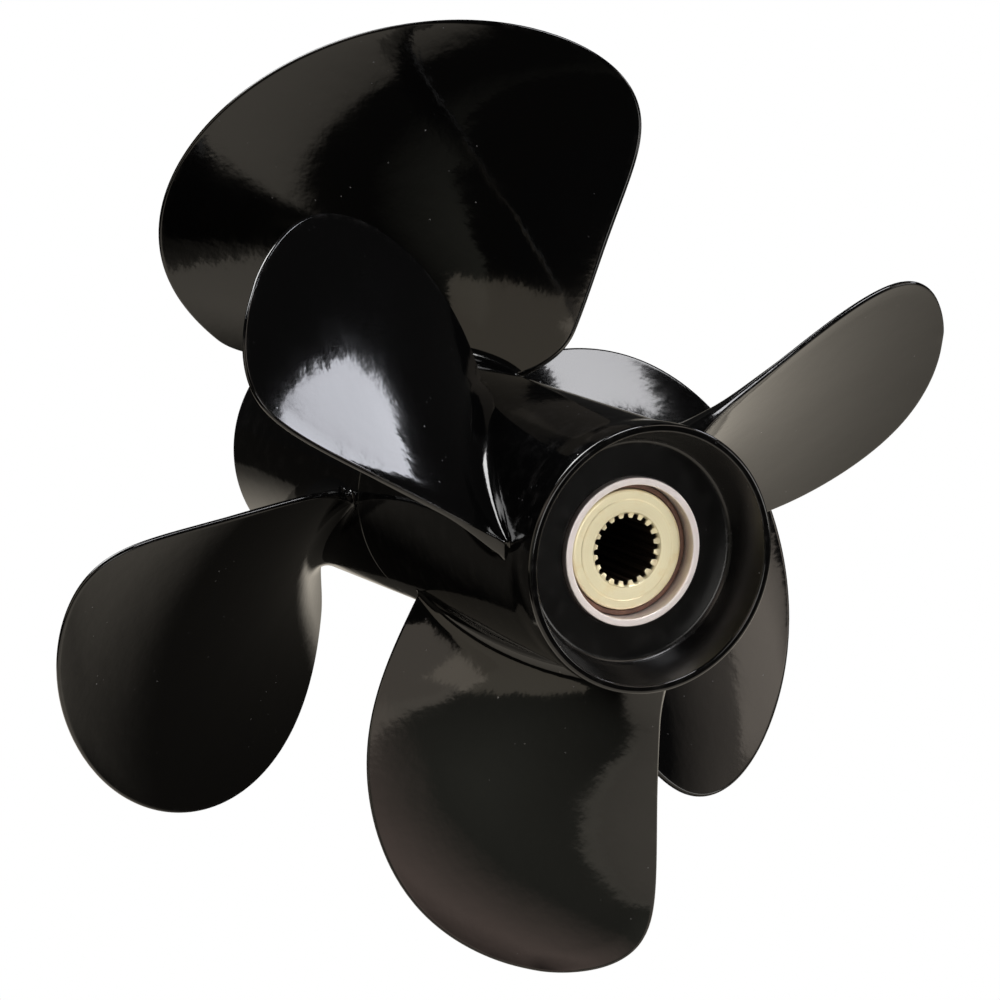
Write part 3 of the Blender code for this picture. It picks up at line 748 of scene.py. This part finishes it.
def splined_sleeve(name, material, y_face, y_flange, y_end, flange_r, body_r, major, depth, teeth):
    """A sleeve from its exposed face to its far end, chamfered, with an internal spline.
    The face has a shallow raised land near its outer edge."""
    way = 1.0 if y_end > y_face else -1.0
    minor = major - depth
    land = flange_r - 3.6
    outer = rounded(
        [
            (y_face, major + 1.3, 0.0),
            (y_face, land - 0.5, 0.15),
            (y_face + way * 0.28, land, 0.15),
            (y_face + way * 0.28, flange_r, 1.2),
            (y_flange, flange_r, 0.4),
            (y_flange, body_r, 0.5),
            (y_end, body_r, 1.0),
            (y_end, major + 1.3, 0.0),
        ],
        steps=4,
        support=0.2,
    )
    bore = [
        (y_end - way * 0.05, major + 0.9, 0.3),
        (y_end - way * 0.9, major + 0.1, 0.3),
        (y_end - way * 1.5, -1.0, 0.0),
        (y_end - way * 2.4, -1.0, 0.0),
        (y_face + way * 2.4, -1.0, 0.0),
        (y_face + way * 1.3, -1.0, 0.0),
        (y_face + way * 0.75, major + 0.12, 0.3),
        (y_face + way * 0.05, major + 0.75, 0.4),
    ]
    section = outer + bore

    def shape(i, y, r, angle):
        if r < 0:
            return spline_radius(major, depth, teeth, angle)
        return np.full(len(angle), float(r))

    shell = Shell()
    verts, faces, rims = lathe(section, teeth * 16, shape)
    # the bore's inside, over 2 mm from the face, takes the painted shade of the bush metal
    depth = (verts[:, 1] - y_face) * way
    bore = (np.hypot(verts[:, 0], verts[:, 2]) < major + 0.5) & (depth > 2.0)
    shell.add(verts, faces, rims, bore * 1.0)
    return shell.build(name, [material], 32.0)


def ring_piece(name, material, corners, steps=BORE_STEPS):
    shell = Shell()
    shell.add(*lathe(rounded(corners, steps=4, support=0.2), steps))
    return shell.build(name, [material], 32.0)


PAINT_FWD = paint("gloss_black_forward", 1.0)
PAINT_AFT = paint("gloss_black_aft", 5.0)
SHELL_METAL = machined("machined_aluminium", (0.90, 0.84, 0.84), (0.66, 0.58, 0.56), 0.36, 2.0)
BRONZE = machined("sleeve_bronze", (0.95, 0.88, 0.62), (0.80, 0.62, 0.30), 0.36, 4.0, 0.6)
RUBBER = rubber("bush_rubber", 3.0)

pieces = {
    "forward_propeller": forward_casting(PAINT_FWD),
    "aft_propeller": aft_casting(PAINT_AFT),
    "aft_bush_shell": ring_piece(
        "aft_rim_shell",
        SHELL_METAL,
        [
            (AFT_SHELL_AFT_Y, AFT_SHELL_IN_R, 0.5),
            (AFT_SHELL_AFT_Y, AFT_SHELL_OUT_R, 0.5),
            (AFT_SHELL_FRONT_Y, AFT_SHELL_OUT_R, 0.4),
            (AFT_SHELL_FRONT_Y, AFT_SHELL_IN_R, 0.4),
        ],
    ),
    "aft_rubber_bush": ring_piece(
        "aft_cushion",
        RUBBER,
        [
            (AFT_SLEEVE_AFT_Y + 1.6, AFT_SLEEVE_FLANGE_R + GAP, 0.4),
            (AFT_SLEEVE_AFT_Y + 1.6, AFT_SHELL_IN_R - GAP, 0.6),
            (AFT_SHELL_FRONT_Y - 4.0, AFT_SHELL_IN_R - GAP, 1.5),
            (AFT_SHELL_FRONT_Y - 4.0, AFT_SLEEVE_R + GAP, 1.0),
            (AFT_SLEEVE_AFT_Y + 9.0 + GAP, AFT_SLEEVE_R + GAP, 0.0),
            (AFT_SLEEVE_AFT_Y + 9.0 + GAP, AFT_SLEEVE_FLANGE_R + GAP, 0.0),
        ],
    ),
    "aft_splined_sleeve": splined_sleeve(
        "aft_sleeve", BRONZE, AFT_SLEEVE_AFT_Y, AFT_SLEEVE_AFT_Y + 9.0, AFT_SHELL_FRONT_Y + 2.0, AFT_SLEEVE_FLANGE_R, AFT_SLEEVE_R, AFT_SPLINE_R, AFT_SPLINE_DEPTH, AFT_SPLINE_TEETH
    ),
    "forward_bush_shell": ring_piece(
        "forward_rim_shell",
        SHELL_METAL,
        [
            (FWD_SHELL_FRONT_Y, FWD_SHELL_IN_R, 0.4),
            (FWD_SHELL_FRONT_Y, FWD_SHELL_OUT_R, 0.5),
            (FWD_SHELL_AFT_Y, FWD_SHELL_OUT_R, 0.4),
            (FWD_SHELL_AFT_Y, FWD_SHELL_IN_R, 0.4),
        ],
    ),
    "forward_rubber_bush": ring_piece(
        "forward_cushion",
        RUBBER,
        [
            (FWD_SLEEVE_FRONT_Y - 1.6, FWD_SLEEVE_FLANGE_R + GAP, 0.4),
            (FWD_SLEEVE_FRONT_Y - 1.6, FWD_SHELL_IN_R - GAP, 0.6),
            (FWD_SHELL_AFT_Y + 3.0, FWD_SHELL_IN_R - GAP, 1.5),
            (FWD_SHELL_AFT_Y + 3.0, FWD_SLEEVE_R + GAP, 1.0),
            (FWD_SLEEVE_FRONT_Y - 9.0 - GAP, FWD_SLEEVE_R + GAP, 0.0),
            (FWD_SLEEVE_FRONT_Y - 9.0 - GAP, FWD_SLEEVE_FLANGE_R + GAP, 0.0),
        ],
    ),
    "forward_splined_sleeve": splined_sleeve(
        "forward_sleeve", BRONZE, FWD_SLEEVE_FRONT_Y, FWD_SLEEVE_FRONT_Y - 9.0, FWD_SHELL_AFT_Y - 1.0, FWD_SLEEVE_FLANGE_R, FWD_SLEEVE_R, FWD_SPLINE_R, FWD_SPLINE_DEPTH, FWD_SPLINE_TEETH
    ),
}
for node_name, piece in pieces.items():
    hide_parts(node_name)
    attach(piece, "forward_propeller" if node_name.startswith("forward") else "aft_propeller")

# ---------------------------------------------------------------- camera
AZIMUTH, ELEVATION = math.radians(-26.32), math.radians(10.98)
right = Vector((math.cos(AZIMUTH), math.sin(AZIMUTH), 0.0))
back = Vector((math.sin(AZIMUTH) * math.cos(ELEVATION), -math.cos(AZIMUTH) * math.cos(ELEVATION), math.sin(ELEVATION)))
up = back.cross(right)
# where the frame's origin lies from the camera, in millimetres: right, up and distance
eye = (Vector((0.0, 11.7, 0.0)) + right * 74.7 - up * 28.4 + back * 1794.0) * MM
camera = bpy.data.cameras.new("camera")
camera.sensor_width = 36.0
camera.lens = 144.0
camera.clip_start = 0.05
camera.clip_end = 60.0
camera_object = bpy.data.objects.new("camera", camera)
camera_object.matrix_world = Matrix(
    ((right.x, up.x, back.x, eye.x), (right.y, up.y, back.y, eye.y), (right.z, up.z, back.z, eye.z), (0, 0, 0, 1))
)
bpy.context.scene.collection.objects.link(camera_object)
bpy.context.scene.camera = camera_object

# ---------------------------------------------------------------- floor, light
floor_z = float(cad_bounds[0][2]) - 0.0005
floor_mesh = bpy.data.meshes.new("floor")
floor_mesh.from_pydata([(-30, -30, floor_z), (30, -30, floor_z), (30, 30, floor_z), (-30, 30, floor_z)], [], [(0, 1, 2, 3)])
floor = bpy.data.objects.new("floor", floor_mesh)
bpy.context.scene.collection.objects.link(floor)


def oval(tree, place, centre, radii, inner, outer, inside, outside):
    """A soft oval on the floor: inside its inner share one value, beyond its outer the other."""
    moved = tree.nodes.new("ShaderNodeVectorMath")
    moved.operation = "SUBTRACT"
    tree.links.new(place, moved.inputs[0])
    moved.inputs[1].default_value = (centre[0], centre[1], floor_z)
    scaled = tree.nodes.new("ShaderNodeVectorMath")
    scaled.operation = "DIVIDE"
    tree.links.new(moved.outputs[0], scaled.inputs[0])
    scaled.inputs[1].default_value = (radii[0], radii[1], 1.0)
    length = tree.nodes.new("ShaderNodeVectorMath")
    length.operation = "LENGTH"
    tree.links.new(scaled.outputs[0], length.inputs[0])
    return ramp(tree, length.outputs["Value"], inner, outer, inside, outside)


def pale_floor():
    """A white table top, even white to the camera; to other rays it glows with its left and front edges,
    a painted shadow at the object's foot and a painted falling off of the light, which the paint mirrors."""
    mat = bpy.data.materials.new("pale_floor")
    mat.use_nodes = True
    tree = mat.node_tree
    tree.nodes.clear()
    out = tree.nodes.new("ShaderNodeOutputMaterial")
    place = tree.nodes.new("ShaderNodeNewGeometry").outputs["Position"]
    split = tree.nodes.new("ShaderNodeSeparateXYZ")
    tree.links.new(place, split.inputs[0])
    table = maths(tree, "MULTIPLY", ramp(tree, split.outputs[0], -0.335, -0.295), ramp(tree, split.outputs[1], -0.66, -0.52))
    # the falling off of the light and the shadow at the object's foot are painted into the floor's glow
    painted_light_falloff = oval(tree, place, (0.05, -0.12), (0.72, 0.72), 0.35, 1.05, 1.0, 0.15)
    painted_foot_shadow = oval(tree, place, (0.07, 0.05), (0.20, 0.25), 0.66, 1.20, 0.04, 1.0)
    strength = maths(tree, "MULTIPLY", maths(tree, "MULTIPLY", table, painted_light_falloff), painted_foot_shadow)
    mirrored = tree.nodes.new("ShaderNodeEmission")
    mirrored.inputs["Color"].default_value = (1.0, 0.91, 0.77, 1.0)
    tree.links.new(maths(tree, "MULTIPLY", maths(tree, "MAXIMUM", strength, 0.02), 0.95), mirrored.inputs["Strength"])
    seen = tree.nodes.new("ShaderNodeEmission")
    seen.inputs["Color"].default_value = (1.0, 1.0, 1.0, 1.0)
    path = tree.nodes.new("ShaderNodeLightPath")
    both = tree.nodes.new("ShaderNodeMixShader")
    tree.links.new(path.outputs["Is Camera Ray"], both.inputs[0])
    tree.links.new(mirrored.outputs[0], both.inputs[1])
    tree.links.new(seen.outputs[0], both.inputs[2])
    tree.links.new(both.outputs[0], out.inputs[0])
    return mat


floor_mesh.materials.append(pale_floor())

world = bpy.data.worlds.new("studio")
bpy.context.scene.world = world
world.use_nodes = True
world_tree = world.node_tree
world_tree.nodes.clear()
world_out = world_tree.nodes.new("ShaderNodeOutputWorld")
room = world_tree.nodes.new("ShaderNodeBackground")
room.inputs[0].default_value = (1.0, 0.97, 0.92, 1.0)
room.inputs[1].default_value = 0.018
backdrop = world_tree.nodes.new("ShaderNodeBackground")
backdrop.inputs[0].default_value = (1.0, 1.0, 1.0, 1.0)
backdrop.inputs[1].default_value = 1.0
world_path = world_tree.nodes.new("ShaderNodeLightPath")
world_mix = world_tree.nodes.new("ShaderNodeMixShader")
world_tree.links.new(world_path.outputs["Is Camera Ray"], world_mix.inputs[0])
world_tree.links.new(room.outputs[0], world_mix.inputs[1])
world_tree.links.new(backdrop.outputs[0], world_mix.inputs[2])
world_tree.links.new(world_mix.outputs[0], world_out.inputs[0])
bpy.context.scene.view_settings.view_transform = "Standard"


def softbox(name, aim, azimuth, elevation, distance, wide, high, radiance, colour=(1.0, 1.0, 1.0), roll=0.0, spread=180.0):
    """A soft light seen from aim at that azimuth and elevation, wide and high in degrees.
    Azimuth is the camera's own: 0 is aft of the object and 90 to starboard. A spread under
    180 is a grid on the box, which keeps its light to that cone."""
    a, e = math.radians(azimuth), math.radians(elevation)
    way = Vector((math.sin(a) * math.cos(e), -math.cos(a) * math.cos(e), math.sin(e)))
    width = 2 * distance * math.tan(math.radians(wide) / 2)
    height = 2 * distance * math.tan(math.radians(high) / 2)
    lamp = bpy.data.lights.new(name, "AREA")
    lamp.shape = "RECTANGLE"
    lamp.size, lamp.size_y = width, height
    lamp.energy = radiance * math.pi * width * height
    if spread < 180.0:
        half = math.radians(spread) / 2
        lamp.spread = 2 * half
        lamp.energy *= (math.tan(half) - half) / math.tan(half)
    lamp.color = colour
    made = bpy.data.objects.new(name, lamp)
    side = way.cross(Vector((0.0, 0.0, 1.0))).normalized()
    rise = side.cross(way)
    turned = math.radians(roll)
    across = -(side * math.cos(turned) + rise * math.sin(turned))
    upwards = rise * math.cos(turned) - side * math.sin(turned)
    place = Vector(aim) + way * distance
    made.matrix_world = Matrix(
        ((across.x, upwards.x, way.x, place.x), (across.y, upwards.y, way.y, place.y), (across.z, upwards.z, way.z, place.z), (0, 0, 0, 1))
    )
    made.visible_camera = False
    bpy.context.scene.collection.objects.link(made)
    return made


# the window, the overhead boxes and the cards that the paint mirrors
softbox("window_right", (-0.10, -0.24, 0.06), 89.0, 30.7, 1.5, 13.5, 9.4, 9.0, (0.90, 0.92, 1.0), roll=-8.0)
softbox("overhead_right", (0.12, -0.02, 0.03), 11.0, 62.0, 1.6, 19.0, 17.0, 12.0, (0.97, 0.97, 1.0))
softbox("card_right", (0.14, -0.11, -0.11), 36.0, 40.0, 1.3, 30.0, 14.0, 2.4, (1.0, 0.88, 0.76), spread=60.0)
softbox("card_right_soft", (0.14, -0.11, -0.11), 54.0, 32.0, 1.3, 48.0, 34.0, 0.8, (1.0, 0.88, 0.76), spread=46.0)
softbox("overhead_back", (-0.045, -0.235, 0.03), -150.0, 50.0, 1.5, 36.0, 34.0, 11.0)
softbox("card_left", (0.0, -0.13, 0.08), -90.0, 0.0, 0.9, 40.0, 58.0, 0.8, (1.0, 0.88, 0.70), roll=18.0)
softbox("card_left_high", (-0.02, -0.20, -0.07), -60.5, 35.0, 3.0, 25.0, 28.0, 1.1, (1.0, 0.88, 0.74))
softbox("card_low", (-0.02, -0.21, -0.09), -56.0, 5.0, 0.28, 84.0, 44.0, 0.34, (1.0, 1.0, 0.82), spread=66.0)
softbox("card_foot", (-0.02, -0.23, -0.18), -36.0, 24.0, 0.28, 56.0, 62.0, 1.3, (1.0, 0.75, 0.65), spread=40.0)
# two boxes beside the camera, off what the flat aft faces mirror: they light the metals
softbox("front_left_box", (0.0, -0.27, 0.0), 3.0, -6.0, 1.3, 24.0, 34.0, 3.2, (1.0, 0.98, 0.94))
softbox("front_right_box", (0.0, -0.27, 0.0), 53.0, -8.0, 1.3, 24.0, 34.0, 3.2, (1.0, 0.98, 0.94))
fill = softbox("front_fill", (0.0, -0.27, 0.0), 20.0, 8.0, 1.6, 50.0, 40.0, 5.2, (1.0, 0.98, 0.95))
fill.visible_glossy = False
